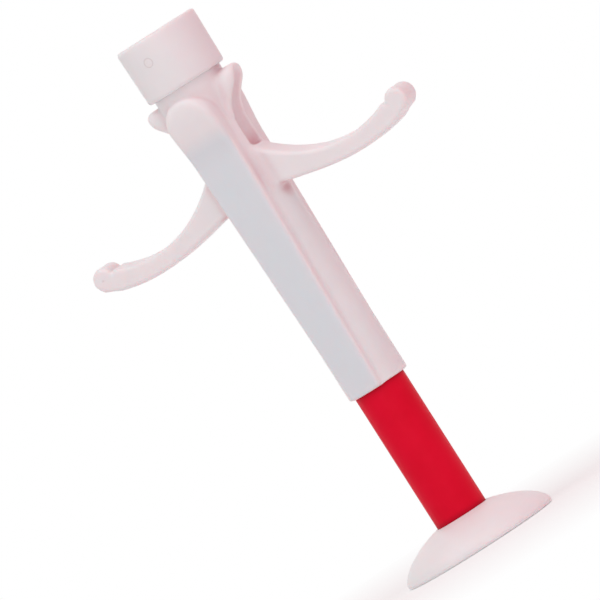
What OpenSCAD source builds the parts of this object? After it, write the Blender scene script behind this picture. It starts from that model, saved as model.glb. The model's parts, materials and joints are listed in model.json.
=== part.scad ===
// Aspirating dental syringe for a standard glass cartridge.
// It stands on the rim of its thumb rest: Z runs up the axis to the needle end,
// X runs through the two finger arms, and the flat pads face -Y and +Y.

/* [Cartridge] */
// Outer diameter of the glass
glass_od = 8.65; // [7:0.05:11]
// Wall of the glass
glass_wall = 0.9; // [0.7:0.05:1.2]
// Cartridge length, from the open end of the glass to the face of its metal cap
cartridge_len = 63.8; // [50:0.1:80]
// How far the metal cap lies inside the glass's outer surface
crimp_step = 0.475; // [0.3:0.025:0.7]
// Height of the metal cap
crimp_h = 4.2; // [3.6:0.1:5]
// Length of the rubber stopper
stopper_len = 5; // [4:0.1:6]
// Thickness of the soft ring in front of the cartridge
cushion_t = 1; // [0.6:0.1:1.6]

/* [Plunger] */
// Wall of the sleeve
sleeve_wall = 1.6; // [1:0.1:2]
// Length of sleeve that shows between the barrel and the thumb rest at rest
sleeve_shown = 34.6; // [28:0.1:42]
// Length of sleeve inside the barrel at rest
sleeve_hidden = 23.4; // [19:0.1:29]
// How far the stop ring stands out from the sleeve
ring_step = 0.3; // [0.2:0.05:0.6]
// Length of the stop ring at the sleeve's front end
stop_ring_len = 2.8; // [2:0.1:4]
// Diameter of the piston rod
rod_d = 3.2; // [2.6:0.1:3.8]
// Thickness of the pusher disc behind the stopper
pusher_t = 1.6; // [1:0.1:2]
// Length of the barbed harpoon
harpoon_len = 3.6; // [3:0.1:3.8]
// Length of the guide bush that centres the rod in the sleeve
guide_len = 5; // [3:0.1:7]

/* [Barrel] */
// Wall of the barrel tube
barrel_wall = 0.85; // [0.8:0.05:2]
// How far the barrel reaches past the open end of the cartridge
barrel_tail = 15.2; // [12:0.1:19]
// How far the neck stands out from the barrel tube
neck_rise = 0.95; // [0.5:0.05:2]
// How far the neck reaches up inside the cap
neck_in_cap = 5; // [4:0.1:7]
// Height of the cone between the barrel tube and the neck
shoulder_h = 9; // [5:0.5:14]
// Length of the inward lip at the open end that stops the ring
lip_len = 4.2; // [2:0.1:6]

/* [Flat pads] */
// How far the flat faces stand out from the tube
pad_proud = 0.1; // [0.05:0.05:2]
// Width of a pad at the open end
pad_w_low = 8.7; // [6:0.1:12]
// Width of a pad at its round top end
pad_w_high = 12.6; // [8:0.1:15]
// How far the round end of a pad flares outward
pad_flare = 2.2; // [0:0.1:4]
// Length of the flare
pad_flare_len = 17; // [10:0.5:25]
// Gap between the top of a pad and the lower edge of the cap
pad_top_gap = 1.9; // [1:0.1:5]

/* [Ears] */
// How far the tip of an ear reaches out from the tube
ear_reach = 5.65; // [4:0.05:9]
// Radius of an ear's curved face, seen from above
ear_bow_r = 4.6; // [3.4:0.1:6]
// Width of an ear
ear_w = 7; // [5:0.1:9]
// Height of an ear, from where it leaves the tube to its top
ear_h = 10.4; // [8:0.1:13]
// Gap between the top of an ear and the lower edge of the cap
ear_top_gap = 1.1; // [0.5:0.1:4]
// Radius of the round recess under each ear
recess_r = 3; // [2:0.1:3.4]
// Height of the recess
recess_h = 12; // [6:0.1:14]
// Wall left between the recess and the cartridge's socket
recess_wall = 0.9; // [0.6:0.05:1.5]

/* [Finger arms] */
// Distance across the outer ends of the two arms
arm_span = 93.6; // [78:0.2:113]
// Thickness of an arm, front to back
arm_t = 6.4; // [4:0.1:8]
// Height of an arm's root on the barrel
arm_root_h = 9.7; // [6:0.1:12]
// Height of an arm at its thinnest
arm_thin_h = 3.8; // [3:0.1:6]
// How far an arm's middle line falls on its way out from the barrel
arm_fall = 5.9; // [3:0.1:9]
// How far that line climbs again towards the knob
arm_climb = 5.2; // [2:0.1:9]
// Diameter of the knob at the end of an arm
knob_d = 5.6; // [5:0.1:8]
// Distance from the lower edge of the cap down to the middle of the knobs
knob_drop = 27.7; // [24:0.1:36]

/* [Cap] */
// Wall of the cap at its lower edge
cap_wall = 1.3; // [1:0.05:2]
// How much wider the cap's radius is at its closed top
cap_taper = 0.25; // [0:0.05:1]
// Thickness of the cap's top
cap_top_t = 1.3; // [1:0.1:1.8]
// Rounding of the cap's edges
cap_edge_r = 0.7; // [0.3:0.1:1]
// Total slack between cap and neck
cap_slack = 0.1; // [0.06:0.02:0.2]
// Thickness of the soft ring in the neck's groove
seal_t = 1.2; // [0.8:0.1:1.6]
// Depth of the neck's groove
seal_depth = 0.8; // [0.5:0.1:1]

/* [Needle adaptor] */
// Diameter of the threaded nipple
nipple_d = 6; // [5:0.1:7]
// Length of the nipple
nipple_len = 5; // [4:0.1:6]
// Room between the nipple and the closed top of the cap
nipple_room = 0.8; // [0.5:0.1:3]
// Flange diameter
adaptor_flange_d = 12.6; // [10:0.1:14]
// Flange thickness
adaptor_flange_t = 1.6; // [1:0.1:2]
// Diameter of the stem that sits in the barrel
adaptor_stem_d = 6.8; // [5:0.1:8]
// Length of the stem
adaptor_stem_len = 5; // [4:0.1:7]
// Passage for the needle
needle_hole_d = 1; // [0.6:0.1:1.4]

/* [Thumb rest] */
// Diameter of the thumb rest
thumb_d = 37.9; // [31:0.1:46]
// Height of the dome
thumb_h = 8.1; // [7.7:0.1:10]
// Thickness of the dome at its middle
thumb_t = 3; // [2.6:0.1:3.2]
// Depth of the groove that the sleeve's end sits in
socket_depth = 1.4; // [1:0.1:1.8]
// Width of the flat ring that it stands on
rim_w = 1.1; // [0.8:0.1:2]
// Diameter of the retaining screw's head
screw_head_d = 5.6; // [4.6:0.1:6]
// Height of the screw's head
screw_head_t = 1.1; // [0.8:0.1:1.4]

/* [Clearances] */
// Radial clearance of a running fit
run_fit = 0.05; // [0.02:0.01:0.08]
// Gap between pieces that don't slide on each other
loose_gap = 0.3; // [0.2:0.05:0.5]
// Radial room round the glass in the barrel's socket
socket_room = 0.2; // [0.1:0.05:0.3]
// Radial room round the glass inside the sleeve
sleeve_room = 0.425; // [0.3:0.025:0.6]
// Room between the thumb rest and the barrel with the plunger pushed in
thumb_room = 0.7; // [0.5:0.1:2]
// Radial room round the pusher disc inside the glass
pusher_room = 0.425; // [0.3:0.025:0.8]

/* [Hidden] */
$fn = 96;
cut = 1;

white = [0.93, 0.90, 0.90];
red = [0.83, 0.07, 0.17];
steel = [0.74, 0.75, 0.77];
brass = [0.78, 0.66, 0.36];
clear = [0.80, 0.88, 0.90, 0.45];
grey_rubber = [0.35, 0.36, 0.38];
amber = [0.72, 0.36, 0.26];

// Radii, from the glass outward
glass_r = glass_od / 2;
glass_in_r = glass_r - glass_wall;
socket_r = glass_r + socket_room;
sleeve_in_r = glass_r + sleeve_room;
sleeve_r = sleeve_in_r + sleeve_wall;
ring_r = sleeve_r + ring_step;
mouth_r = sleeve_r + run_fit;
bore_r = ring_r + run_fit;
barrel_r = bore_r + barrel_wall;
pad_face = barrel_r + pad_proud;
neck_r = barrel_r + neck_rise;
cap_in_r = neck_r + cap_slack / 2;
cap_low_r = cap_in_r + cap_wall;
cap_top_r = cap_low_r + cap_taper;

// Heights along the axis, from the rim of the thumb rest
barrel_len = barrel_tail + cartridge_len + cushion_t + adaptor_stem_len - neck_in_cap;
rear_z = thumb_h + sleeve_shown;
cap_z = rear_z + barrel_len;
neck_top = cap_z + neck_in_cap;
neck_z = cap_z - pad_top_gap;
cap_h = neck_in_cap + adaptor_flange_t + nipple_len + nipple_room + cap_top_t;
mouth_round = 0.45;

// Cartridge
cushion_z = neck_top - adaptor_stem_len;
crimp_top = cushion_z - cushion_t;
crimp_z = crimp_top - crimp_h;
crimp_r = glass_r - crimp_step;
crimp_t = 0.3;
cartridge_z = crimp_top - cartridge_len;
diaphragm_t = 1;
diaphragm_z = crimp_top - crimp_t - diaphragm_t;
finish_r = crimp_r - crimp_t;
glass_neck_r = finish_r - 0.6;
glass_neck_h = 4;
shoulder_z = crimp_z - glass_neck_h;

// Adaptor
stem_hole_r = adaptor_stem_d / 2 + run_fit;
post_r = 1.5;
thread_pitch = 0.8;
thread_depth = 0.3;

// Plunger
push_travel = sleeve_shown - thumb_room;
sleeve_low = thumb_h - socket_depth;
sleeve_top = rear_z + sleeve_hidden;
ring_seat = 0.6;
main_bore_top = sleeve_top + push_travel + loose_gap;
stopper_r = glass_in_r - run_fit;
stopper_z = shoulder_z - loose_gap - push_travel - stopper_len;
pusher_z = stopper_z - loose_gap - pusher_t;
pusher_r = glass_in_r - pusher_room;
rod_r = rod_d / 2;
stud_r = 1.1;
harpoon_r = 1.7;
barb_h = 1.1;
barb_z = stopper_z + 1;
guide_z = cartridge_z - push_travel - 2 * loose_gap - guide_len;

// Thumb rest and its screw
thumb_r = thumb_d / 2;
hollow_h = thumb_h - thumb_t;
edge_t = 0.7;
dome_step = 0.6;
spigot_top = guide_z - 2.6;
screw_r = 1.2;
screw_depth = 5;
screw_end_room = 0.5;
washer_t = 0.5;
washer_z = hollow_h + screw_head_t;
head_room_r = screw_head_d / 2 + loose_gap;
rod_seat_t = 2.8;
rod_low = washer_z + washer_t + rod_seat_t;

// Ears and the recesses under them
ear_tip_r = 1.1;
ear_tip_x = barrel_r + ear_reach - ear_tip_r;
ear_top = cap_z - ear_top_gap;
recess_top = ear_top - ear_h + 3.4;
recess_low = recess_top - recess_h;
recess_x = socket_r + recess_wall + recess_r;

// Finger arms
knob_r = knob_d / 2;
knob_x = arm_span / 2 - knob_r;
knob_z = cap_z - knob_drop;
arm_root_z = knob_z + 2.5;
arm_end_z = knob_z - 0.5;
arm_end_h = knob_d + 0.5;

// Neck seal
seal_z = neck_top - 2.2;
seal_in_r = neck_r - seal_depth;
seal_room = 0.1;

// Point at share t of a cubic curve
function curve_at(a, b, c, d, t) =
    a * pow(1 - t, 3) + b * 3 * t * pow(1 - t, 2) + c * 3 * t * t * (1 - t) + d * pow(t, 3);

function curve(a, b, c, d, steps = 16) =
    [for (i = [0 : steps]) curve_at(a, b, c, d, i / steps)];

// Turn of radius r about (x, z), from angle a to angle b
function arc(x, z, r, a, b, steps = 8) =
    [for (i = [0 : steps]) let (q = a + (b - a) * i / steps) [x + r * cos(q), z + r * sin(q)]];

module tube(r_out, r_in, z0, z1) {
    translate([0, 0, z0])
        difference() {
            cylinder(r = r_out, h = z1 - z0);
            translate([0, 0, -cut]) cylinder(r = r_in, h = z1 - z0 + 2 * cut);
        }
}

// Stands an outline drawn in X and Z upright and gives it a depth along Y
module upright(depth) {
    rotate([90, 0, 0]) linear_extrude(depth, center = true) children();
}

module both_sides() {
    children();
    mirror([1, 0, 0]) children();
}

// ---- Barrel ----

// Front view of a pad: tapered sides and a round top
module pad_outline() {
    top_r = pad_w_high / 2;
    low_r = pad_w_low / 2;
    top_z = neck_z - top_r;
    low_z = rear_z + mouth_round;
    polygon([[-low_r, low_z], [low_r, low_z], [top_r, top_z], [-top_r, top_z]]);
    translate([0, top_z]) circle(r = top_r);
}

// Side view of both pads: flat faces that flare outward at their top
module pad_profile() {
    low_z = rear_z + mouth_round;
    flare_z = neck_z - pad_flare_len;
    bend_z = neck_z - pad_flare_len / 2;
    tip_y = pad_face + pad_flare;
    tip_h = 3.2;
    tip_t = 1.6;
    half = concat(
        [[0, low_z], [pad_face, low_z]],
        curve([pad_face, flare_z], [pad_face, bend_z], [tip_y, bend_z], [tip_y, neck_z - tip_h]),
        curve([tip_y, neck_z - tip_h], [tip_y, neck_z - tip_h / 3],
              [tip_y - tip_t / 3, neck_z], [tip_y - tip_t, neck_z], 8),
        [[0, neck_z]]
    );
    polygon(half);
    mirror([1, 0]) polygon(half);
}

module pads() {
    intersection() {
        upright(4 * pad_face) pad_outline();
        rotate([90, 0, 90]) linear_extrude(2 * pad_w_high, center = true) pad_profile();
    }
}

// Front view of one ear: it sweeps out from the tube to a round tip, level with the neck behind it
module ear_profile() {
    root_x = recess_x;
    low_z = ear_top - ear_h;
    tip_z = ear_top - ear_tip_r;
    polygon(concat(
        [[socket_r + recess_wall, low_z]],
        curve([barrel_r - 0.4, low_z], [root_x + 0.2, low_z + 0.45 * ear_h],
              [ear_tip_x + 0.6 * ear_tip_r, tip_z - 0.25 * ear_h], [ear_tip_x + ear_tip_r, tip_z], 12),
        arc(ear_tip_x, tip_z, ear_tip_r, 0, 90),
        [[socket_r + recess_wall, ear_top]]
    ));
}

// View of one ear from its side of the barrel: a tongue with a round end
module ear_outline() {
    end_r = ear_w / 2;
    translate([-end_r, ear_top - ear_h]) square([ear_w, ear_h - end_r]);
    translate([0, ear_top - end_r]) circle(r = end_r);
}

module ear() {
    intersection() {
        upright(2 * ear_w) ear_profile();
        rotate([90, 0, 90]) linear_extrude(2 * ear_tip_x) ear_outline();
        translate([ear_tip_x + ear_tip_r - ear_bow_r, 0, 0]) cylinder(r = ear_bow_r, h = cap_z);
    }
}

// Round hollow in the side of the tube, under an ear
module recess() {
    translate([recess_x, 0, recess_low]) cylinder(r = recess_r, h = recess_h);
}

// Point on an arm's middle line at share t, from the tube out to the knob
function arm_middle(t) = curve_at(
    [barrel_r, arm_root_z], [barrel_r + 0.32 * (knob_x - barrel_r), arm_root_z - arm_fall],
    [knob_x - 0.36 * (knob_x - barrel_r), arm_end_z - arm_climb], [knob_x, arm_end_z], t
);

// Half of an arm's height at distance x from the axis: high at the root, thin half way out
function arm_half_h(x) =
    let (s = (x - barrel_r) / (knob_x - barrel_r))
    (arm_thin_h + (arm_root_h - arm_thin_h) * pow(1 - s, 4) + (arm_end_h - arm_thin_h) * pow(s, 3)) / 2;

// One edge of an arm up to share last: side is 1 for the upper edge and -1 for the lower
function arm_edge(side, last, steps = 24) = [
    for (i = [0 : steps])
        let (p = arm_middle(last * i / steps))
        [p[0], p[1] + side * arm_half_h(p[0])]
];

// Front view of one arm: a long shallow hook that ends in a knob
module arm_outline() {
    root_x = barrel_r - barrel_wall / 2;
    upper = arm_edge(1, 0.9);
    lower = arm_edge(-1, 0.97);
    polygon(concat(
        [[root_x, lower[0][1]], [root_x, upper[0][1]]],
        upper,
        [[knob_x, knob_z], [knob_x + 0.5 * knob_r, knob_z - 0.87 * knob_r]],
        [for (i = [len(lower) - 1 : -1 : 0]) lower[i]]
    ));
    translate([knob_x, knob_z]) circle(r = knob_r);
}

module barrel_body() {
    translate([0, 0, rear_z]) rotate_extrude()
        polygon(concat(
            [[0, 0]],
            arc(barrel_r - mouth_round, mouth_round, mouth_round, -90, 0),
            [[barrel_r, neck_z - shoulder_h - rear_z], [neck_r, neck_z - rear_z],
             [neck_r, neck_top - rear_z], [0, neck_top - rear_z]]
        ));
}

module seal_groove() {
    tube(neck_r + cut, seal_in_r, seal_z - seal_room, seal_z + seal_t + seal_room);
}

module barrel() {
    lip_z = rear_z + lip_len;
    color(white) difference() {
        union() {
            difference() {
                union() {
                    barrel_body();
                    pads();
                }
                both_sides() recess();
            }
            both_sides() ear();
            both_sides() upright(arm_t) arm_outline();
        }
        translate([0, 0, rear_z - cut]) cylinder(r = mouth_r, h = lip_len + 2 * cut);
        translate([0, 0, lip_z]) cylinder(r = bore_r, h = main_bore_top - lip_z);
        translate([0, 0, lip_z]) cylinder(r = socket_r, h = cushion_z - lip_z);
        translate([0, 0, cushion_z - cut]) cylinder(r = stem_hole_r, h = adaptor_stem_len + 2 * cut);
        seal_groove();
    }
}

// ---- Cap and neck ----

module neck_seal_ring() {
    color(grey_rubber) tube(neck_r, seal_in_r, seal_z, seal_z + seal_t);
}

module front_cap() {
    in_h = cap_h - cap_top_t;
    lip_round = 0.4;
    corner = 1;
    color(white) translate([0, 0, cap_z]) rotate_extrude()
        polygon(concat(
            [[cap_in_r, 0]],
            arc(cap_low_r - lip_round, lip_round, lip_round, -90, 0),
            arc(cap_top_r - cap_edge_r, cap_h - cap_edge_r, cap_edge_r, 0, 90),
            [[0, cap_h], [0, in_h], [cap_in_r - corner, in_h], [cap_in_r, in_h - corner]]
        ));
}

// ---- Needle end ----

module needle_adaptor() {
    flange_top = neck_top + adaptor_flange_t;
    nipple_top = flange_top + nipple_len;
    post_z = crimp_top + loose_gap;
    nipple_r = nipple_d / 2;
    color(brass) difference() {
        union() {
            translate([0, 0, neck_top]) cylinder(d = adaptor_flange_d, h = adaptor_flange_t);
            translate([0, 0, flange_top]) cylinder(r = nipple_r, h = nipple_len);
            translate([0, 0, cushion_z]) cylinder(d = adaptor_stem_d, h = adaptor_stem_len);
            translate([0, 0, post_z]) cylinder(r = post_r, h = cushion_t);
        }
        translate([0, 0, post_z - cut]) cylinder(d = needle_hole_d, h = nipple_top - post_z + 2 * cut);
        for (z = [flange_top + thread_pitch : thread_pitch : nipple_top - thread_pitch])
            tube(nipple_r + cut, nipple_r - thread_depth, z, z + thread_pitch / 2);
    }
}

module cartridge_cushion() {
    color(grey_rubber) tube(socket_r - run_fit, post_r + loose_gap, crimp_top, cushion_z);
}

// ---- Cartridge ----

// The glass narrows to a neck, with a rim for the metal cap and a narrow mouth
module cartridge_glass() {
    mouth_in_r = 1.6;
    rim_z = crimp_z + crimp_t;
    color(clear) rotate_extrude() polygon(concat(
        [[glass_in_r, cartridge_z], [glass_r, cartridge_z]],
        curve([glass_r, shoulder_z], [glass_r, shoulder_z + 0.45 * glass_neck_h],
              [glass_neck_r, shoulder_z + 0.4 * glass_neck_h], [glass_neck_r, crimp_z - crimp_t], 10),
        [[glass_neck_r, rim_z], [finish_r, rim_z],
         [finish_r, diaphragm_z], [mouth_in_r, diaphragm_z], [mouth_in_r, crimp_z]],
        curve([mouth_in_r, crimp_z - 0.15 * glass_neck_h], [mouth_in_r, shoulder_z + 0.25 * glass_neck_h],
              [glass_in_r, shoulder_z + 0.3 * glass_neck_h], [glass_in_r, shoulder_z], 10)
    ));
}

module cartridge_diaphragm() {
    color(amber) translate([0, 0, diaphragm_z]) cylinder(r = finish_r, h = diaphragm_t);
}

module cartridge_crimp_cap() {
    window_r = 1.7;
    mid_r = finish_r + crimp_t / 2;
    color(steel) {
        tube(crimp_r, finish_r, crimp_z, crimp_top);
        tube(mid_r, window_r, crimp_top - crimp_t, crimp_top);
        tube(mid_r, glass_neck_r, crimp_z, crimp_z + crimp_t);
    }
}

// The stopper has two grooves, and a rear pocket with room for the harpoon to turn in
module cartridge_stopper() {
    groove_h = 0.5;
    groove_depth = 0.3;
    color(grey_rubber) difference() {
        translate([0, 0, stopper_z]) cylinder(r = stopper_r, h = stopper_len);
        for (share = [1 / 3, 2 / 3])
            translate([0, 0, stopper_z + share * stopper_len - groove_h / 2])
                tube(stopper_r + cut, stopper_r - groove_depth, 0, groove_h);
        rotate_extrude() polygon(barb_outline(run_fit, stopper_z - cut));
    }
}

// ---- Plunger ----

// Half outline of the harpoon, grown by a gap, down to the height low
function barb_outline(gap, low) = [
    [0, low], [stud_r + gap, low],
    [stud_r + gap, barb_z - gap], [harpoon_r + gap, barb_z - gap],
    [stud_r + gap, barb_z + barb_h], [harpoon_r + gap, barb_z + barb_h - gap],
    [harpoon_r + gap, barb_z + barb_h + 0.2], [0.3, stopper_z + harpoon_len + gap],
    [0, stopper_z + harpoon_len + gap]
];

module harpoon() {
    color(steel) rotate_extrude() polygon(barb_outline(0, pusher_z + pusher_t));
}

module pusher_disc() {
    color(steel) translate([0, 0, pusher_z]) difference() {
        cylinder(r = pusher_r, h = pusher_t);
        translate([0, 0, -cut]) cylinder(r = stud_r, h = pusher_t - loose_gap + cut);
    }
}

module piston_rod() {
    color(steel) difference() {
        union() {
            translate([0, 0, rod_low]) cylinder(r = rod_r, h = pusher_z - rod_low);
            translate([0, 0, pusher_z - cut]) cylinder(r = stud_r, h = pusher_t - loose_gap + cut);
        }
        translate([0, 0, rod_low - cut]) cylinder(r = screw_r, h = screw_depth + cut);
    }
}

module rod_guide_bush() {
    color(white) tube(sleeve_in_r, rod_r, guide_z, guide_z + guide_len);
}

module plunger_sleeve() {
    ring_z = sleeve_top - stop_ring_len;
    color(red) difference() {
        tube(sleeve_r, sleeve_in_r, sleeve_low, sleeve_top);
        tube(sleeve_r + cut, sleeve_r - ring_seat, ring_z, sleeve_top + cut);
    }
}

module sleeve_stop_ring() {
    color(white) tube(ring_r, sleeve_r - ring_seat, sleeve_top - stop_ring_len, sleeve_top);
}

// ---- Thumb rest ----

// Half outline of the dome: the outer face, the rim and the hollow underside
function dome_outline() = concat(
    [[0, thumb_h], [sleeve_r + dome_step, thumb_h]],
    curve([sleeve_r + dome_step, thumb_h], [0.66 * thumb_r, 0.84 * thumb_h],
          [0.97 * thumb_r, 0.45 * thumb_h], [thumb_r, edge_t], 20),
    arc(thumb_r - edge_t / 2, edge_t / 2, edge_t / 2, 0, -90, 4),
    [[thumb_r - rim_w, 0]],
    curve([thumb_r - rim_w, 0], [0.78 * thumb_r, 0.72 * hollow_h],
          [0.4 * thumb_r, hollow_h], [0, hollow_h], 20)
);

// The sleeve's end sits in a groove round the spigot, and the screw comes up through the middle
module thumb_rest() {
    color(white) difference() {
        union() {
            rotate_extrude() polygon(dome_outline());
            translate([0, 0, sleeve_low]) cylinder(r = sleeve_in_r, h = spigot_top - sleeve_low);
        }
        tube(sleeve_r, sleeve_in_r, sleeve_low, thumb_h + cut);
        translate([0, 0, rod_low]) cylinder(r = rod_r, h = spigot_top);
        cylinder(r = screw_r, h = rod_low + cut);
        cylinder(r = head_room_r, h = washer_z + washer_t);
    }
}

module screw_washer() {
    color(steel) tube(screw_head_d / 2, screw_r, washer_z, washer_z + washer_t);
}

module rod_screw() {
    slot_w = 0.8;
    slot_depth = 0.6;
    screw_len = rod_low + screw_depth - screw_end_room - hollow_h;
    color(steel) difference() {
        translate([0, 0, hollow_h]) union() {
            cylinder(d = screw_head_d, h = screw_head_t);
            cylinder(r = screw_r, h = screw_len);
        }
        translate([-screw_head_d, -slot_w / 2, hollow_h - cut])
            cube([2 * screw_head_d, slot_w, slot_depth + cut]);
    }
}

barrel();
front_cap();
neck_seal_ring();
needle_adaptor();
cartridge_cushion();
cartridge_glass();
cartridge_crimp_cap();
cartridge_diaphragm();
cartridge_stopper();
harpoon();
pusher_disc();
piston_rod();
rod_guide_bush();
plunger_sleeve();
sleeve_stop_ring();
thumb_rest();
rod_screw();
screw_washer();
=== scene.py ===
"""Looks for the aspirating dental syringe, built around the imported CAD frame. The pieces are shaped in
millimetres and scaled once in make_mesh. Materials, camera, floor and lamps are in metres."""

import json
import math

import bmesh
import bpy
import numpy as np
from mathutils import Matrix, Vector


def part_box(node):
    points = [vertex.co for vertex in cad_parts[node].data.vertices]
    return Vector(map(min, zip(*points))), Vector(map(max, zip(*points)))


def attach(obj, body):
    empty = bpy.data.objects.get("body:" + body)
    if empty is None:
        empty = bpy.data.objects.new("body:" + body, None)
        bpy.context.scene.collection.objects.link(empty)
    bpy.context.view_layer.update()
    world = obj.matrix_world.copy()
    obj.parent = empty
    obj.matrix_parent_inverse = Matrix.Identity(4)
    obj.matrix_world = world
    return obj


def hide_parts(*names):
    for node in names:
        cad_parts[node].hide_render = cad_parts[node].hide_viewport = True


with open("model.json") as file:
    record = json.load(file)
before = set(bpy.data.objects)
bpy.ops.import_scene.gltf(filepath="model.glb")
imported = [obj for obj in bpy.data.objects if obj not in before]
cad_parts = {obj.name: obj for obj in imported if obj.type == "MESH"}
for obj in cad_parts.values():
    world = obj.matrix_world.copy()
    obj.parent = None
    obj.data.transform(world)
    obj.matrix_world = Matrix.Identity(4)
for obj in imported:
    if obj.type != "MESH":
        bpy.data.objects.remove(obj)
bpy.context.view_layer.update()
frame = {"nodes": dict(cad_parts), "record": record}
MM = 0.001


def node_mm(name):
    """A CAD node's lowest and highest corners at rest, in millimetres."""
    low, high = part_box(name)
    return np.array(low) / MM, np.array(high) / MM


# ---- Sizes, read from the frame (mm) ----

barrel_low, barrel_high = node_mm("barrel")
cap_low, cap_high = node_mm("front_cap")
_, thumb_high = node_mm("thumb_rest")
sleeve_low, sleeve_high = node_mm("plunger_sleeve")

REAR_Z = barrel_low[2]
NECK_TOP = barrel_high[2]
CAP_Z = cap_low[2]
ARM_END = barrel_high[0]
SLEEVE_R = sleeve_high[0]
THUMB_R = thumb_high[0]
CAP_TOP = cap_high[2]

# Sizes of the mouldings that a box doesn't give (mm)
RUN_FIT = 0.05
TUBE_R = 7.55
NECK_R = 8.5
SHOULDER_H = 9.0
PAD_TOP = CAP_Z - 1.9
BORE_R = 6.7
MOUTH_R = SLEEVE_R + RUN_FIT
LIP_LEN = 4.2
SOCKET_R = 4.525
STEM_R = 3.45
CUSHION_Z = NECK_TOP - 5.0

# The CAD's bore ends at 100.3. Here it goes 0.9 further, so that its soft corner clears the stop ring.
BORE_TOP = 101.2


# ---- Shapes as distance fields (mm) ----

def smooth_max(a, b, r):
    """Intersection of two fields with an edge rounded to about radius r."""
    h = np.clip(0.5 - 0.5 * (b - a) / r, 0, 1)
    return b + (a - b) * h + r * h * (1 - h)


def smooth_min(a, b, r):
    """Union of two fields with a fillet of about radius r."""
    return -smooth_max(-a, -b, r)


def bezier(p0, p1, p2, p3, steps):
    """Points along a cubic curve."""
    t = np.linspace(0, 1, steps + 1)[:, None]
    p0, p1, p2, p3 = (np.array(p, float) for p in (p0, p1, p2, p3))
    return p0 * (1 - t) ** 3 + 3 * p1 * t * (1 - t) ** 2 + 3 * p2 * t * t * (1 - t) + p3 * t ** 3


def path_distance(u, v, points):
    """Distance to an open path, and the share of the path at the nearest point."""
    best = np.full(np.broadcast(u, v).shape, 1e9)
    share = np.zeros_like(best)
    count = len(points) - 1
    for i in range(count):
        a, b = points[i], points[i + 1]
        d = b - a
        t = np.clip(((u - a[0]) * d[0] + (v - a[1]) * d[1]) / (d @ d), 0, 1)
        dist = np.hypot(u - a[0] - t * d[0], v - a[1] - t * d[1])
        nearer = dist < best
        best = np.where(nearer, dist, best)
        share = np.where(nearer, (i + t) / count, share)
    return best, share


def outline_distance(u, v, points):
    """Signed distance to a closed outline, negative inside."""
    ring = np.vstack([points, points[:1]])
    best, _ = path_distance(u, v, ring)
    inside = np.zeros(best.shape, bool)
    for a, b in zip(ring[:-1], ring[1:]):
        crosses = (a[1] > v) != (b[1] > v)
        rise = b[1] - a[1] if b[1] != a[1] else 1e-9
        inside ^= crosses & (u < (b[0] - a[0]) * (v - a[1]) / rise + a[0])
    return np.where(inside, -best, best)


# ---- Barrel ----

PAD_FACE = 7.65
PAD_R = 6.3
PAD_LOW_W = 4.35
FLARE = 2.2
FLARE_LEN = 17.0
PAD_TIP_H = 3.2
EAR_TOP = CAP_Z - 1.1
EAR_H = 10.4
EAR_END = 13.2
EAR_TIP_R = 1.6
EAR_HALF_W = 3.5
EAR_BOW_R = 4.6
RECESS_R = 3.0
RECESS_X = SOCKET_R + 0.9 + RECESS_R
RECESS_TOP = EAR_TOP - EAR_H + 3.4
RECESS_LOW = RECESS_TOP - 12
ARM_HALF_T = 3.2
KNOB_R = 2.8
KNOB_X = ARM_END - KNOB_R
KNOB_Z = CAP_Z - 27.7
ARM_ROOT_H = 9.7
ARM_THIN_H = 3.8
ARM_END_H = 2 * KNOB_R + 0.5
ARM_ROOT_Z = KNOB_Z + 2.5
ARM_END_Z = KNOB_Z - 0.5
ARM_FALL = 5.9
ARM_CLIMB = 5.2

# Edge roundings and fillets of the barrel (mm)
END_EDGE = 0.7
PAD_EDGE = 1.0
PAD_TOP_EDGE = 2.4
PAD_FILLET = 0.5
EAR_FACE_EDGE = 1.1
EAR_SIDE_EDGE = 1.6
EAR_TRIM = 0.1
EAR_FILLET = 1.2
SCOOP_TAPER = 1.3
SCOOP_END = 1.8
SCOOP_EDGE = 0.6
KNOB_FILLET = 0.6
ARM_EDGE = 1.1
ARM_FILLET = 1.6
BORE_EDGE = 0.25


def tube_field(x, y, z):
    """Round tube that widens to the neck."""
    r = np.hypot(x, y)
    start = PAD_TOP - SHOULDER_H
    share = np.clip((z - start) / SHOULDER_H, 0, 1)
    wall = TUBE_R + (NECK_R - TUBE_R) * share
    ends = np.maximum(REAR_Z - z, z - NECK_TOP)
    return smooth_max(r - wall, ends, END_EDGE)


def pad_field(x, y, z):
    """Flat pads on the front and back, with round flared tops."""
    centre_z = PAD_TOP - PAD_R
    run = np.clip((z - REAR_Z) / (centre_z - REAR_Z), 0, 1)
    half_w = PAD_LOW_W + (PAD_R - PAD_LOW_W) * run
    side = np.where(z > centre_z, np.hypot(x, z - centre_z) - PAD_R, x - half_w)
    rise = np.clip((z - (PAD_TOP - FLARE_LEN)) / (FLARE_LEN - PAD_TIP_H), 0, 1)
    face = PAD_FACE + FLARE * rise * rise * (3 - 2 * rise)
    edge = PAD_EDGE + (PAD_TOP_EDGE - PAD_EDGE) * rise
    body = smooth_max(side, y - face, edge)
    return smooth_max(body, REAR_Z - z, END_EDGE)


EAR_OUTLINE = np.vstack([
    [[SOCKET_R + 1.5, EAR_TOP], [SOCKET_R + 1.5, EAR_TOP - EAR_H]],
    bezier((TUBE_R - 0.4, EAR_TOP - EAR_H), (RECESS_X + 0.2, EAR_TOP - 0.55 * EAR_H),
           (EAR_END - 0.4, EAR_TOP - EAR_TIP_R - 2.6), (EAR_END, EAR_TOP - EAR_TIP_R), 14),
    bezier((EAR_END, EAR_TOP - EAR_TIP_R), (EAR_END, EAR_TOP - 0.4 * EAR_TIP_R),
           (EAR_END - 0.6 * EAR_TIP_R, EAR_TOP), (EAR_END - EAR_TIP_R, EAR_TOP), 5),
])


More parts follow.
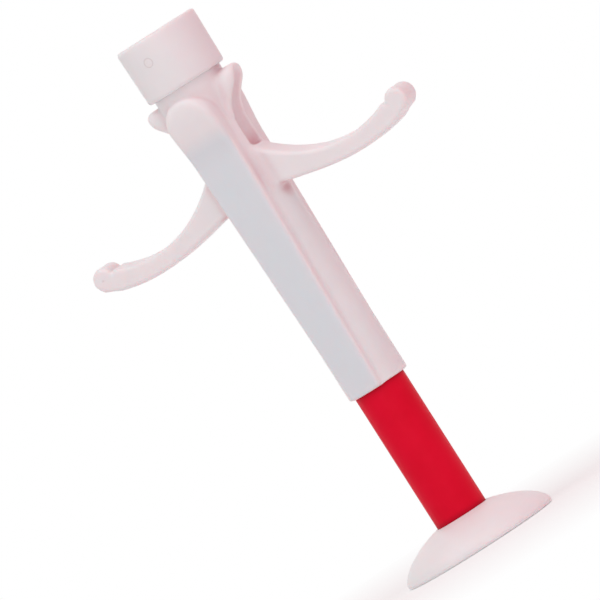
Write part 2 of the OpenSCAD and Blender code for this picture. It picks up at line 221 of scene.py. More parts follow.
def ear_field(x, y, z):
    """Bowed lip that sweeps out of the tube's side to a round tip."""
    front = outline_distance(x, z, EAR_OUTLINE)
    round_z = EAR_TOP - EAR_HALF_W
    side = np.where(z > round_z, np.hypot(y, z - round_z), y) - EAR_HALF_W
    bow = np.hypot(x - EAR_END + EAR_BOW_R, y) - EAR_BOW_R
    return smooth_max(smooth_max(front, bow, EAR_FACE_EDGE), side, EAR_SIDE_EDGE) - EAR_TRIM


SCOOP_PATH = np.vstack([
    [[RECESS_X, RECESS_LOW - 1]],
    bezier((RECESS_X, RECESS_TOP - 6), (RECESS_X + 0.2, RECESS_TOP), (EAR_END - 0.6, EAR_TOP - 5),
           (EAR_END + 2.4, EAR_TOP - 0.6), 14),
])


def scoop_field(x, y, z):
    """Round hollow that runs up under an ear and out along its face."""
    dist, share = path_distance(x, z, SCOOP_PATH)
    hollow = np.hypot(dist, y) - (RECESS_R - SCOOP_TAPER * share)
    return smooth_max(hollow, RECESS_LOW - z, SCOOP_END)


def arm_edges():
    """Closed front outline of one arm, without its round knob."""
    reach = KNOB_X - TUBE_R
    middle = bezier((TUBE_R, ARM_ROOT_Z), (TUBE_R + 0.32 * reach, ARM_ROOT_Z - ARM_FALL),
                    (KNOB_X - 0.36 * reach, ARM_END_Z - ARM_CLIMB), (KNOB_X, ARM_END_Z), 30)
    share = (middle[:, 0] - TUBE_R) / reach
    height = (ARM_THIN_H + (ARM_ROOT_H - ARM_THIN_H) * (1 - share) ** 4
              + (ARM_END_H - ARM_THIN_H) * share ** 3)
    lift = np.stack([np.zeros(len(share)), height / 2], 1)
    upper = (middle + lift)[share < 0.91]
    lower = (middle - lift)[share < 0.96]
    root = np.array([[TUBE_R - 3, lower[0, 1] + 1.0], [TUBE_R - 3, upper[0, 1]]])
    end = np.array([[KNOB_X, KNOB_Z], [KNOB_X + 0.5 * KNOB_R, KNOB_Z - 0.87 * KNOB_R]])
    return np.vstack([root, upper, end, lower[::-1]])


ARM_OUTLINE = arm_edges()


def arm_field(x, y, z):
    """Shallow hook with a knob at its end."""
    hook = outline_distance(x, z, ARM_OUTLINE)
    knob = np.hypot(x - KNOB_X, z - KNOB_Z) - KNOB_R
    side = smooth_min(hook, knob, KNOB_FILLET)
    return smooth_max(side, y - ARM_HALF_T, ARM_EDGE)


def bore_field(x, y, z):
    """Everything that is bored out of the barrel."""
    r = np.hypot(x, y)
    mouth = np.maximum(r - MOUTH_R, z - REAR_Z - LIP_LEN)
    main = np.maximum(r - BORE_R, np.maximum(REAR_Z + LIP_LEN - z, z - BORE_TOP))
    socket = np.maximum(r - SOCKET_R, np.maximum(REAR_Z + LIP_LEN - z, z - CUSHION_Z))
    stem = np.maximum(r - STEM_R, REAR_Z + LIP_LEN - z)
    return np.minimum(np.minimum(mouth, main), np.minimum(socket, stem))


def barrel_field(x, y, z):
    """The whole barrel, the same left and right, and front and back."""
    x, y = np.abs(x), np.abs(y)
    body = smooth_min(tube_field(x, y, z), pad_field(x, y, z), PAD_FILLET)
    body = smooth_min(body, ear_field(x, y, z), EAR_FILLET)
    body = smooth_max(body, -scoop_field(x, y, z), SCOOP_EDGE)
    body = smooth_min(body, arm_field(x, y, z), ARM_FILLET)
    return smooth_max(body, -bore_field(x, y, z), BORE_EDGE)


# ---- Cap ----

CAP_LOW_R = 9.85
CAP_TOP_R = 10.1
CAP_IN_R = NECK_R + RUN_FIT
CAP_IN_TOP = CAP_TOP - 1.3
CAP_EDGE = 0.9
CAP_IN_EDGE = 1.2
CAP_MOUTH_EDGE = 0.25


def cap_field(x, y, z):
    """Closed cap that widens slightly to its top."""
    r = np.hypot(x, y)
    share = (z - CAP_Z) / (CAP_TOP - CAP_Z)
    wall = r - CAP_LOW_R - (CAP_TOP_R - CAP_LOW_R) * share
    shell = smooth_max(wall, np.maximum(CAP_Z - z, z - CAP_TOP), CAP_EDGE)
    inside = smooth_max(r - CAP_IN_R, z - CAP_IN_TOP, CAP_IN_EDGE)
    return smooth_max(shell, -inside, CAP_MOUTH_EDGE)


# ---- Turning fields into meshes ----

NEWTON_STEPS = 4
LAST_NEWTON_STEPS = 3


def surface_mesh(name, field, low, high, step):
    """Surface net of a field: one vertex in each cell that the surface crosses, moved onto it."""
    axes = [np.arange(a - 1.5 * step, b + 2.5 * step, step) for a, b in zip(low, high)]
    x, y, z = np.meshgrid(*axes, indexing="ij", sparse=True)
    inside = field(x, y, z) < 0
    mixed = crossed_cells(inside)
    index = np.full(mixed.shape, -1, np.int64)
    index[mixed] = np.arange(mixed.sum())
    cell = np.argwhere(mixed)
    points = np.stack([axes[n][0] + (cell[:, n] + 0.5) * step for n in range(3)], 1)
    quads = np.vstack([crossing_quads(inside, index, axis) for axis in range(3)])

    for _ in range(NEWTON_STEPS):
        points = onto_surface(points, field, step)
    points = relax(points, quads)
    for _ in range(LAST_NEWTON_STEPS):
        points = onto_surface(points, field, step)
    return make_mesh(name, points, quads)


def crossed_cells(inside):
    """Marks each grid cell that has corners both inside and outside."""
    cells = np.array(inside.shape) - 1
    total = np.zeros(tuple(cells), np.int8)
    for i in (0, 1):
        for j in (0, 1):
            for k in (0, 1):
                total += inside[i:cells[0] + i, j:cells[1] + j, k:cells[2] + k]
    return (total > 0) & (total < 8)


def crossing_quads(inside, index, axis):
    """One quad for each grid edge along an axis that the surface crosses."""
    b, c = (axis + 1) % 3, (axis + 2) % 3
    lo, hi = [slice(1, -1)] * 3, [slice(1, -1)] * 3
    lo[axis], hi[axis] = slice(0, -1), slice(1, None)
    first, second = inside[tuple(lo)], inside[tuple(hi)]
    quads = []
    for flip, crossing in ((False, first & ~second), (True, ~first & second)):
        at = np.argwhere(crossing)
        at[:, b] += 1
        at[:, c] += 1
        corner = []
        for db, dc in ((1, 1), (0, 1), (0, 0), (1, 0)):
            q = at.copy()
            q[:, b] -= db
            q[:, c] -= dc
            corner.append(index[q[:, 0], q[:, 1], q[:, 2]])
        if flip:
            corner.reverse()
        quads.append(np.stack(corner, 1))
    return np.vstack(quads)


def onto_surface(points, field, step):
    """One Newton step of every point towards the field's surface."""
    h = 0.02
    x, y, z = points.T
    value = field(x, y, z)
    slope = np.stack([
        field(x + h, y, z) - field(x - h, y, z),
        field(x, y + h, z) - field(x, y - h, z),
        field(x, y, z + h) - field(x, y, z - h),
    ], 1) / (2 * h)
    size = np.maximum((slope ** 2).sum(1), 0.05)
    move = -(value / size)[:, None] * slope
    length = np.linalg.norm(move, axis=1)
    return points + move * np.minimum(1, step / np.maximum(length, 1e-9))[:, None]


def relax(points, quads):
    """Moves each point half way to the mean of the quads round it, which evens the mesh."""
    centre = points[quads].mean(1)
    total = np.zeros_like(points)
    count = np.zeros(len(points))
    for n in range(4):
        np.add.at(total, quads[:, n], centre)
        np.add.at(count, quads[:, n], 1)
    return 0.5 * points + 0.5 * total / count[:, None]


def make_mesh(name, points_mm, faces):
    """Smooth-shaded object from points in millimetres and lists of corner numbers."""
    mesh = bpy.data.meshes.new(name)
    mesh.from_pydata((points_mm * MM).tolist(), [], np.asarray(faces).tolist())
    mesh.validate()
    mesh.update()
    mesh.polygons.foreach_set("use_smooth", [True] * len(mesh.polygons))
    piece = bpy.data.objects.new(name, mesh)
    bpy.context.scene.collection.objects.link(piece)
    return piece


def lathe(name, outline, steps=160):
    """Closed ring of an outline of (radius, height) points, turned about the axis."""
    outline = np.array(outline, float)
    turn = np.linspace(0, 2 * math.pi, steps, endpoint=False)
    count = len(outline)
    points = np.array([[r * math.cos(a), r * math.sin(a), z] for a in turn for r, z in outline])
    faces = []
    for i in range(steps):
        for j in range(count):
            here, beyond = i * count, (i + 1) % steps * count
            after = (j + 1) % count
            faces.append((here + j, beyond + j, beyond + after, here + after))
    return make_mesh(name, points, faces)


def recalculate(piece):
    """Makes every face of a closed piece look outward."""
    shape = bmesh.new()
    shape.from_mesh(piece.data)
    bmesh.ops.recalc_face_normals(shape, faces=shape.faces)
    shape.to_mesh(piece.data)
    shape.free()


def soften(outline, radius, steps=4):
    """Rounds each corner of a closed outline, by less where a side is short."""
    outline = [np.array(p, float) for p in outline]
    soft = []
    for i, p in enumerate(outline):
        before, after = outline[i - 1] - p, outline[(i + 1) % len(outline)] - p
        a, b = np.linalg.norm(before), np.linalg.norm(after)
        turn = abs(before[0] * after[1] - before[1] * after[0]) / (a * b)
        if turn < 0.2:
            soft.append(p)
            continue
        reach = min(radius, 0.45 * a, 0.45 * b)
        start, end = p + before * reach / a, p + after * reach / b
        for t in np.linspace(0, 1, steps + 1):
            soft.append(start * (1 - t) ** 2 + 2 * p * t * (1 - t) + end * t * t)
    return soft


# ---- Thumb rest and sleeve ----

THUMB_H = 8.1
THUMB_HOLLOW = 5.1
SPIGOT_TOP = thumb_high[2]
SLEEVE_IN_R = SLEEVE_R - 1.6
ROD_R = 1.6
SCREW_R = 1.2
HEAD_ROOM_R = 3.1
WASHER_TOP = 6.7
ROD_LOW = 9.5
RING_SEAT_R = SLEEVE_R - 0.6
STOP_RING_LEN = 2.8


def thumb_outline():
    """Section of the domed disc, its hollow underside, the screw's hole and the spigot in the sleeve."""
    top = bezier((SLEEVE_R + 0.5, THUMB_H), (0.66 * THUMB_R, 0.84 * THUMB_H),
                 (0.97 * THUMB_R, 0.45 * THUMB_H), (THUMB_R, 0.7), 28)
    under = bezier((THUMB_R - 1.1, 0), (0.78 * THUMB_R, 0.72 * THUMB_HOLLOW),
                   (0.4 * THUMB_R, THUMB_HOLLOW), (HEAD_ROOM_R, THUMB_HOLLOW), 24)
    return soften([
        (ROD_R, SPIGOT_TOP), (SLEEVE_IN_R, SPIGOT_TOP), (SLEEVE_IN_R, sleeve_low[2]),
        (SLEEVE_R + 0.02, sleeve_low[2]), (SLEEVE_R + 0.02, THUMB_H), *top,
        (THUMB_R - 0.1, 0.15), (THUMB_R - 0.5, 0), *under,
        (HEAD_ROOM_R, WASHER_TOP), (SCREW_R, WASHER_TOP), (SCREW_R, ROD_LOW), (ROD_R, ROD_LOW),
    ], 0.25)


def sleeve_outline():
    """Section of the sleeve, with the stop ring's seat at its front end."""
    top = sleeve_high[2]
    return soften([
        (SLEEVE_IN_R, sleeve_low[2]), (SLEEVE_R, sleeve_low[2]), (SLEEVE_R, top - STOP_RING_LEN),
        (RING_SEAT_R, top - STOP_RING_LEN), (RING_SEAT_R, top), (SLEEVE_IN_R, top),
    ], 0.2)


def seal_outline():
    """Section of the soft ring in the neck's groove."""
    low, high = node_mm("neck_seal_ring")
    inner = NECK_R - 0.8
    return soften([(inner, low[2]), (NECK_R, low[2]), (NECK_R, high[2]), (inner, high[2])], 0.4, 6)


# ---- Needle adaptor and rod screw ----

adaptor_low, adaptor_high = node_mm("needle_adaptor")
screw_low, screw_high = node_mm("rod_screw")
POST_R = 1.5
NIPPLE_R = 3.0
FLANGE_T = 1.6
NEEDLE_HOLE_R = 0.5
THREAD_PITCH = 0.8
THREAD_DEPTH = 0.3
THREAD_STEPS = 56
THREAD_FADE = 0.5


def adaptor_outline():
    """Section of the turned insert: post, stem, flange and nipple, with the needle's hole."""
    top, flange_top = adaptor_high[2], NECK_TOP + FLANGE_T
    nipple = [(NIPPLE_R, flange_top + 0.15 + (top - flange_top - 0.45) * i / THREAD_STEPS)
              for i in range(THREAD_STEPS + 1)]
    return soften([
        (NEEDLE_HOLE_R, adaptor_low[2]), (POST_R, adaptor_low[2]), (POST_R, CUSHION_Z),
        (STEM_R - 0.05, CUSHION_Z), (STEM_R - 0.05, NECK_TOP), (adaptor_high[0], NECK_TOP),
        (adaptor_high[0], flange_top), (NIPPLE_R, flange_top), *nipple,
        (NIPPLE_R - 0.3, top), (NEEDLE_HOLE_R, top),
    ], 0.25)


def cut_thread(piece):
    """Sinks the nipple's surface along a helix, fading out at both ends."""
    low, high = NECK_TOP + FLANGE_T + 0.3, adaptor_high[2] - 0.3
    for vertex in piece.data.vertices:
        x, y, z = (v / MM for v in vertex.co)
        r = math.hypot(x, y)
        if abs(r - NIPPLE_R) > 0.02 or not low < z < high:
            continue
        wave = 0.5 - 0.5 * math.cos(2 * math.pi * z / THREAD_PITCH - math.atan2(y, x))
        fade = min(1, (z - low) / THREAD_FADE, (high - z) / THREAD_FADE)
        share = 1 - THREAD_DEPTH * wave * fade / r
        vertex.co.x *= share
        vertex.co.y *= share
    return piece


SCREW_HEAD_R = screw_high[0]
SCREW_HEAD_T = 1.1
SLOT_HALF_W = 0.4
SLOT_DEPTH = 0.6


def screw_field(x, y, z):
    """Slotted cheese-head screw with its head down."""
    r = np.hypot(x, y)
    head_top = screw_low[2] + SCREW_HEAD_T
    head = smooth_max(r - SCREW_HEAD_R, np.maximum(screw_low[2] - z, z - head_top), 0.35)
    shank = smooth_max(r - SCREW_R, np.maximum(screw_low[2] + 0.2 - z, z - screw_high[2]), 0.3)
    slot = np.maximum(np.abs(y) - SLOT_HALF_W, z - screw_low[2] - SLOT_DEPTH)
    return smooth_max(np.minimum(head, shank), -slot, 0.12)


# ---- Materials ----

def srgb(*rgb):
    """Colour as seen on screen, 0 to 255, turned into shader values."""
    parts = [v / 255 for v in rgb]
    return tuple(v / 12.92 if v <= 0.04045 else ((v + 0.055) / 1.055) ** 2.4 for v in parts) + (1.0,)


class Nodes:
    """Short way to build a material: nodes by type, and inputs by name with _ for a space."""

    def __init__(self, name):
        self.material = bpy.data.materials.new(name)
        self.material.use_nodes = True
        self.tree = self.material.node_tree
        self.shader = self.tree.nodes["Principled BSDF"]
        self.place = self.tree.nodes.new("ShaderNodeTexCoord").outputs["Object"]

    def add(self, kind, **inputs):
        node = self.tree.nodes.new(kind)
        for key, value in inputs.items():
            self.put(node, key.replace("_", " "), value)
        return node

    def put(self, node, key, value):
        socket = node.inputs[key]
        if isinstance(value, bpy.types.NodeSocket):
            self.tree.links.new(value, socket)
        else:
            socket.default_value = value

    def noise(self, scale, detail=4.0, rough=0.5, stretch=None):
        """Noise fixed to the piece, stretched along its axes where stretch is given."""
        place = self.place
        if stretch:
            place = self.add("ShaderNodeMapping", Vector=place, Scale=stretch).outputs["Vector"]
        return self.add("ShaderNodeTexNoise", Vector=place, Scale=scale, Detail=detail,
                        Roughness=rough).outputs["Fac"]

    def span(self, value, low, high, low_in=0.3, high_in=0.7):
        """Maps a value from its own range to another; the range given here suits a noise."""
        node = self.tree.nodes.new("ShaderNodeMapRange")
        for key, v in zip(("Value", "From Min", "From Max", "To Min", "To Max"),
                          (value, low_in, high_in, low, high)):
            self.put(node, key, v)
        return node.outputs["Result"]

    def mix(self, share, a, b):
        """Colour between a and b."""
        node = self.tree.nodes.new("ShaderNodeMix")
        node.data_type = "RGBA"
        for index, value in ((0, share), (6, a), (7, b)):
            if isinstance(value, bpy.types.NodeSocket):
                self.tree.links.new(value, node.inputs[index])
            else:
                node.inputs[index].default_value = value
        return node.outputs[2]

    def bump(self, height, distance, normal=None, strength=1.0):
        """Normal bent by a height, on top of an earlier normal if there is one."""
        node = self.add("ShaderNodeBump", Height=height, Distance=distance, Strength=strength)
        if normal is not None:
            self.put(node, "Normal", normal)
        return node.outputs["Normal"]

    def occlusion(self, reach, own=True):
        """Openness within a reach: 1 in the open, less where the piece itself, or any piece, is near."""
        node = self.tree.nodes.new("ShaderNodeAmbientOcclusion")
        node.samples = 8
        node.only_local = own
        node.inputs["Distance"].default_value = reach
        return node.outputs["AO"]

    def math(self, operation, a, b):
        node = self.tree.nodes.new("ShaderNodeMath")
        node.operation = operation
        for socket, value in zip(node.inputs, (a, b)):
            if isinstance(value, bpy.types.NodeSocket):
                self.tree.links.new(value, socket)
            else:
                socket.default_value = value
        return node.outputs[0]

    def axis(self, name):
        """One of the piece's own coordinates, in metres."""
        return self.add("ShaderNodeSeparateXYZ", Vector=self.place).outputs[name]

    def ring(self, centre_mm, radius_mm, width_mm):
        """1 on a ring round a point of the surface, fading to 0 beside it."""
        node = self.tree.nodes.new("ShaderNodeVectorMath")
        node.operation = "DISTANCE"
        self.tree.links.new(self.place, node.inputs[0])
        node.inputs[1].default_value = [v * MM for v in centre_mm]
        off = self.math("ABSOLUTE", self.math("SUBTRACT", node.outputs["Value"], radius_mm * MM), 0.0)
        return self.span(off, 1.0, 0.0, 0.0, width_mm * MM)

    def finish(self, **inputs):
        """Sets the shader's inputs and gives the material."""
        for key, value in inputs.items():
            self.put(self.shader, key.replace("_", " "), value)
        return self.material


# Heights where the painted shade on the flat pads begins and where it is full.
PAD_SHADE_START_Z = PAD_TOP - 9
PAD_SHADE_FULL_Z = PAD_TOP - 13
CREASE_SHADE_REACH = 0.004
HOLLOW_SHADE_REACH = 0.006


def white_plastic(name, marks=(), shaded_pads=False):
    """Satin moulded plastic: nearly white, with painted shade that is warm pink in creases and darker in
    deep hollows.
    Each mark is a faint moulded ring: its centre, radius and line width in millimetres.
    The last argument paints shade on the long lower part of each flat pad: a cooler grey."""
    n = Nodes(name)
    cloud = n.noise(90.0, 3.0)
    grain = n.noise(2600.0, 2.0)
    flow = n.noise(260.0, 4.0, stretch=(1, 1, 0.25))
    base = n.mix(n.span(cloud, 0.0, 1.0), srgb(236, 231, 232), srgb(240, 234, 235))
    # Painted shade: the long lower part of each flat pad is greyer, as if less lit than the flared top.
    if shaded_pads:
        height, depth = n.axis("Z"), n.math("ABSOLUTE", n.axis("Y"), 0.0)
        on_pad = n.span(depth, 0.0, 1.0, (PAD_FACE - 0.5) * MM, PAD_FACE * MM)
        below = n.span(height, 1.0, 0.0, PAD_SHADE_FULL_Z * MM, PAD_SHADE_START_Z * MM)
        base = n.mix(n.math("MULTIPLY", on_pad, below), base, srgb(222, 225, 229))
    for centre, radius, width in marks:
        line = n.ring(centre, radius, width)
        base = n.mix(n.math("MULTIPLY", line, 0.35), base, srgb(196, 176, 178))
    # Painted shade: warm pink where the piece's own creases are near, standing in for the shade that falls
    # there.
    crease_shade = n.span(n.occlusion(CREASE_SHADE_REACH), 1.0, 0.0, 0.15, 0.95)
    base = n.mix(crease_shade, base, srgb(226, 158, 170))
    # Painted shade: deep crimson in the hollows under the ears, standing in for the dark shade there.
    hollow = n.span(n.occlusion(HOLLOW_SHADE_REACH), 1.0, 0.0, 0.34, 0.82)
    base = n.mix(hollow, base, srgb(176, 40, 68))
    normal = n.bump(flow, 0.00004, strength=0.5)
    normal = n.bump(grain, 0.000012, normal, 0.5)
    for centre, radius, width in marks:
        normal = n.bump(n.ring(centre, radius, width), 0.0001, normal, 0.6)
    return n.finish(
        Base_Color=base, Roughness=n.span(flow, 0.34, 0.44), Normal=normal,
        Subsurface_Weight=0.35, Subsurface_Radius=(1.0, 0.28, 0.24), Subsurface_Scale=0.0022,
        Specular_IOR_Level=0.28,
    )


def red_plastic():
    """Satin red plastic with fine draw lines along the tube, and painted shade where other pieces are
    near.
    """
    n = Nodes("red_plastic")
    cloud = n.noise(120.0, 3.0)
    lines = n.noise(900.0, 3.0, stretch=(1, 1, 0.04))
    grain = n.noise(3000.0, 2.0)
    base = n.mix(n.span(cloud, 0.0, 1.0), srgb(220, 6, 42), srgb(228, 10, 48))
    # Painted shade: darker red where other pieces are near, such as under the barrel's end, standing in
    # for their shadow.
    contact_shade = n.span(n.occlusion(0.0022, own=False), 1.0, 0.0, 0.1, 0.9)
    base = n.mix(contact_shade, base, srgb(92, 0, 16))
    normal = n.bump(lines, 0.00002, strength=0.5)
    normal = n.bump(grain, 0.00001, normal, 0.6)
    return n.finish(
        Base_Color=base, Roughness=n.span(lines, 0.42, 0.54), Normal=normal,
        Subsurface_Weight=0.1, Subsurface_Radius=(1.0, 0.12, 0.12), Subsurface_Scale=0.001,
        Specular_IOR_Level=0.08,
    )


def rubber(name, colour, dark):
    """Matt rubber with a fine speckle."""
    n = Nodes(name)
    speckle = n.noise(1800.0, 4.0)
    base = n.mix(n.span(speckle, 0.0, 1.0), colour, dark)
    return n.finish(Base_Color=base, Roughness=n.span(speckle, 0.6, 0.8),
                    Normal=n.bump(speckle, 0.00002, strength=0.6), Specular_IOR_Level=0.35)


def metal(name, colour, dark, rough):
    """Turned metal: fine rings round the axis and a slight change of tone."""
    n = Nodes(name)
    rings = n.noise(400.0, 5.0, stretch=(0.05, 0.05, 12))
    cloud = n.noise(160.0, 3.0)
    base = n.mix(n.span(cloud, 0.0, 1.0), colour, dark)
    return n.finish(Base_Color=base, Metallic=1.0, Roughness=n.span(rings, rough, rough + 0.14),
                    Normal=n.bump(rings, 0.00002, strength=0.5))


def glass():
    """Clear glass with a slight wave."""
    n = Nodes("cartridge_glass")
    wave = n.noise(200.0, 2.0)
    return n.finish(Base_Color=srgb(236, 246, 246), Transmission_Weight=1.0, IOR=1.5,
                    Roughness=n.span(wave, 0.01, 0.05), Normal=n.bump(wave, 0.00003, strength=0.3))


CAP_MARK = ((0, -10.0, CAP_TOP - 5.2), 1.05, 0.2)
KNOB_MARK = ((-KNOB_X, -ARM_HALF_T, KNOB_Z), 0.0, 0.4)
WHITE = white_plastic("white_plastic")
CAP_WHITE = white_plastic("cap_plastic", [CAP_MARK])
BARREL_WHITE = white_plastic("barrel_plastic", [KNOB_MARK], shaded_pads=True)
RED = red_plastic()
GREY_RUBBER = rubber("grey_rubber", srgb(92, 94, 98), srgb(74, 76, 80))
AMBER_RUBBER = rubber("amber_rubber", srgb(176, 98, 62), srgb(156, 84, 52))
STEEL = metal("turned_steel", srgb(196, 198, 202), srgb(178, 181, 186), 0.2)
BRASS = metal("turned_brass", srgb(205, 178, 116), srgb(188, 160, 100), 0.22)
ALUMINIUM = metal("pressed_aluminium", srgb(214, 216, 220), srgb(200, 203, 208), 0.3)
GLASS = glass()

FINISHES = {
    "white_plastic": WHITE, "red_plastic": RED, "grey_rubber": GREY_RUBBER,
    "amber_rubber": AMBER_RUBBER, "plated_brass": BRASS, "steel": STEEL,
    "aluminium": ALUMINIUM, "clear_glass": GLASS,
}


def dress(piece, material):
    """Gives a piece its only material."""
    piece.data.materials.clear()
    piece.data.materials.append(material)


for part in frame["record"]["subparts"]:
    node = frame["nodes"][part["node"]]
    for place in node.material_slots:
        place.material = FINISHES[part["material_slot"]]


# ---- Pieces ----

def add_piece(piece, body, node, slot, finish=None):
    """Puts a piece on its moving body in place of a CAD node."""
    recalculate(piece)
    dress(piece, finish or FINISHES[slot])
    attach(piece, body)
    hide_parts(node)
    return piece


NET_STEP = 0.4
SCREW_STEP = 0.16
NET_HALF_W = 10.2
add_piece(surface_mesh("barrel_moulding", barrel_field, (-ARM_END, -NET_HALF_W, REAR_Z),
                       (ARM_END, NET_HALF_W, NECK_TOP), NET_STEP),
          "barrel", "barrel", "white_plastic", BARREL_WHITE)
add_piece(surface_mesh("cap_moulding", cap_field, (-NET_HALF_W, -NET_HALF_W, CAP_Z),
                       (NET_HALF_W, NET_HALF_W, CAP_TOP), NET_STEP),
          "cap", "front_cap", "white_plastic", CAP_WHITE)
add_piece(lathe("thumb_rest_moulding", thumb_outline(), 192), "plunger", "thumb_rest", "white_plastic")
add_piece(lathe("sleeve_tube", sleeve_outline(), 160), "plunger", "plunger_sleeve", "red_plastic")
add_piece(lathe("neck_seal", seal_outline(), 128), "barrel", "neck_seal_ring", "grey_rubber")
add_piece(cut_thread(lathe("adaptor_insert", adaptor_outline(), 160)),
          "barrel", "needle_adaptor", "plated_brass")
add_piece(surface_mesh("slotted_screw", screw_field, (-SCREW_HEAD_R, -SCREW_HEAD_R, screw_low[2]),
                       (SCREW_HEAD_R, SCREW_HEAD_R, screw_high[2]), SCREW_STEP),
          "plunger", "rod_screw", "steel")


# ---- Camera, floor and light ----

AZIMUTH = math.radians(29.43)
ELEVATION = math.radians(1.6)
ROLL = math.radians(-32.48)
DISTANCE = 3.0
AIM = (-0.004775, 0.068127)
IMAGE_W = 600
PIXELS_PER_MM = 4.466
SENSOR_W = 36.0


def view_axes():
    """Right, up and backward directions of a level camera at the photo's angle."""
    back = Vector((math.cos(ELEVATION) * math.sin(AZIMUTH),
                   -math.cos(ELEVATION) * math.cos(AZIMUTH), math.sin(ELEVATION)))
    right = Vector((math.cos(AZIMUTH), math.sin(AZIMUTH), 0))
    return right, back.cross(right), back


def add_camera():
    """Rolled camera at the photo's angle; AIM is the point at the picture's centre, right and up."""
    right, up, back = view_axes()
    data = bpy.data.cameras.new("camera")
    camera = bpy.data.objects.new("camera", data)
    bpy.context.scene.collection.objects.link(camera)
    side = right * math.cos(ROLL) + up * math.sin(ROLL)
    top = up * math.cos(ROLL) - right * math.sin(ROLL)
    centre = right * AIM[0] + Vector((0, 0, AIM[1]))
    place = centre + back * DISTANCE
    camera.matrix_world = Matrix((
        (side.x, top.x, back.x, place.x), (side.y, top.y, back.y, place.y),
        (side.z, top.z, back.z, place.z), (0, 0, 0, 1),
    ))
    data.sensor_width = SENSOR_W
    data.lens = SENSOR_W * PIXELS_PER_MM * DISTANCE / MM / IMAGE_W
    data.clip_start, data.clip_end = 0.05, 20.0
    bpy.context.scene.camera = camera


add_camera()


def background_ray(tree):
    """1 for a ray that shows the background: straight to the camera, in a reflection or through glass."""
    path = tree.nodes.new("ShaderNodeLightPath")
    share = path.outputs["Is Camera Ray"]
    for kind in ("Is Glossy Ray", "Is Transmission Ray"):
        either = tree.nodes.new("ShaderNodeMath")
        either.operation = "MAXIMUM"
        tree.links.new(share, either.inputs[0])
        tree.links.new(path.outputs[kind], either.inputs[1])
        share = either.outputs[0]
    return share


def blend_shaders(tree, share, first, second):
    """Shader between two, by a share."""
    node = tree.nodes.new("ShaderNodeMixShader")
    for socket, source in zip(node.inputs, (share, first, second)):
        tree.links.new(source, socket)
    return node.outputs[0]


FLOOR_R = 1.2
FLOOR_DROP = 0.0001
FLOOR_GLOW = (0.45, 1.0, 0.03, 0.16)
FLOOR_EDGE = (0.0, 1.0, 0.35, 1.0)


def add_floor():
    """Pale round floor that fades out, so no horizon shows behind the object."""
    shape = bmesh.new()
    bmesh.ops.create_circle(shape, cap_ends=True, radius=FLOOR_R, segments=96)
    mesh = bpy.data.meshes.new("floor")
    shape.to_mesh(mesh)
    shape.free()
    floor = bpy.data.objects.new("floor", mesh)
    floor.location.z = -FLOOR_DROP
    bpy.context.scene.collection.objects.link(floor)
    n = Nodes("floor_white")
    tree = n.tree
    n.finish(Base_Color=srgb(251, 250, 250), Roughness=0.9, Specular_IOR_Level=0.1)
    glow = n.add("ShaderNodeEmission", Color=(1, 1, 1, 1), Strength=1.0)
    clear = n.add("ShaderNodeBsdfTransparent")
    from_centre = n.add("ShaderNodeVectorMath", Vector=n.place)
    from_centre.operation = "LENGTH"
    far = from_centre.outputs["Value"]
    seen = blend_shaders(tree, n.span(far, *FLOOR_GLOW), n.shader.outputs[0], glow.outputs[0])
    pick = blend_shaders(tree, background_ray(tree), n.shader.outputs[0], seen)
    out = blend_shaders(tree, n.span(far, *FLOOR_EDGE), pick, clear.outputs[0])
    tree.links.new(out, tree.nodes["Material Output"].inputs["Surface"])
    dress(floor, n.material)


LAMP_AIM_Z = 0.08
LAMP_DISTANCE = 1.0
LAMPS = [
    # name, azimuth, elevation, size, power, colour
    ("key", 5, 66, 0.7, 3.45, (0.84, 1.0, 0.98)),
    ("front", 25, 5, 0.8, 1.6, (0.66, 1.0, 1.0)),
    ("warm", 85, 35, 0.8, 1.1, (1.0, 0.45, 0.5)),
]


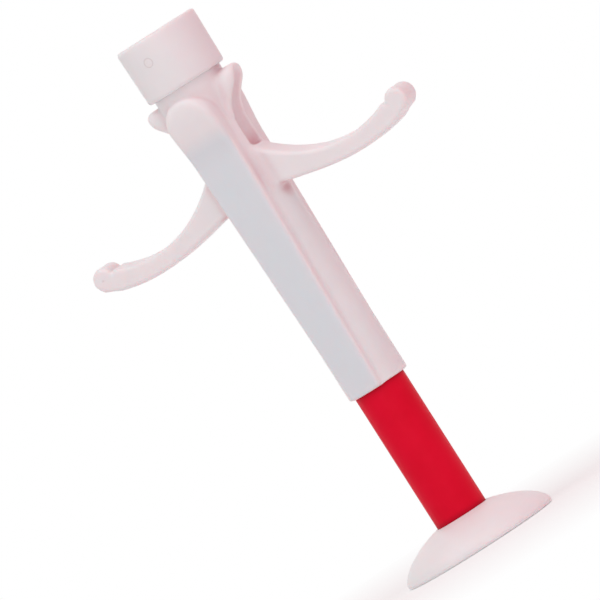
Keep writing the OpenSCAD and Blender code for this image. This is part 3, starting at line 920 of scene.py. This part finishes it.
def add_lamp(name, azimuth, elevation, size, power, colour):
    """Square soft lamp that looks at the middle of the object."""
    data = bpy.data.lights.new(name, "AREA")
    data.shape = "SQUARE"
    data.size = size
    data.energy = power
    data.color = colour
    lamp = bpy.data.objects.new(name, data)
    a, e = math.radians(azimuth), math.radians(elevation)
    toward = Vector((math.cos(e) * math.sin(a), -math.cos(e) * math.cos(a), math.sin(e)))
    lamp.location = Vector((0, 0, LAMP_AIM_Z)) + toward * LAMP_DISTANCE
    lamp.rotation_euler = toward.to_track_quat("Z", "Y").to_euler()
    bpy.context.scene.collection.objects.link(lamp)


ROOM_STRENGTH = 0.61
ROOM_TOWARD = (0.85, 0.5, 0.0)
ROOM_PALE = (1.0, 0.88, 0.895, 1)
ROOM_WARM = (0.95, 0.56, 0.62, 1)


def add_world():
    """Dim warm surroundings, pinker on the right, seen as plain white by the camera and in reflections."""
    world = bpy.data.worlds.new("surroundings")
    bpy.context.scene.world = world
    world.use_nodes = True
    tree = world.node_tree
    tree.nodes.clear()

    room = tree.nodes.new("ShaderNodeBackground")
    room.inputs["Strength"].default_value = ROOM_STRENGTH
    toward = tree.nodes.new("ShaderNodeVectorMath")
    toward.operation = "DOT_PRODUCT"
    place = tree.nodes.new("ShaderNodeTexCoord")
    tree.links.new(place.outputs["Generated"], toward.inputs[0])
    toward.inputs[1].default_value = ROOM_TOWARD
    share = tree.nodes.new("ShaderNodeMapRange")
    share.inputs["From Min"].default_value = -0.3
    share.inputs["From Max"].default_value = 1.0
    tree.links.new(toward.outputs["Value"], share.inputs["Value"])
    blend = tree.nodes.new("ShaderNodeMix")
    blend.data_type = "RGBA"
    blend.inputs[6].default_value = ROOM_PALE
    blend.inputs[7].default_value = ROOM_WARM
    tree.links.new(share.outputs["Result"], blend.inputs[0])
    tree.links.new(blend.outputs[2], room.inputs["Color"])
    white = tree.nodes.new("ShaderNodeBackground")
    white.inputs["Color"].default_value = (1, 1, 1, 1)
    white.inputs["Strength"].default_value = 1.0
    seen = blend_shaders(tree, background_ray(tree), room.outputs[0], white.outputs[0])
    out = tree.nodes.new("ShaderNodeOutputWorld")
    tree.links.new(seen, out.inputs["Surface"])


add_floor()
add_world()
for lamp_values in LAMPS:
    add_lamp(*lamp_values)
bpy.context.scene.view_settings.view_transform = "Standard"
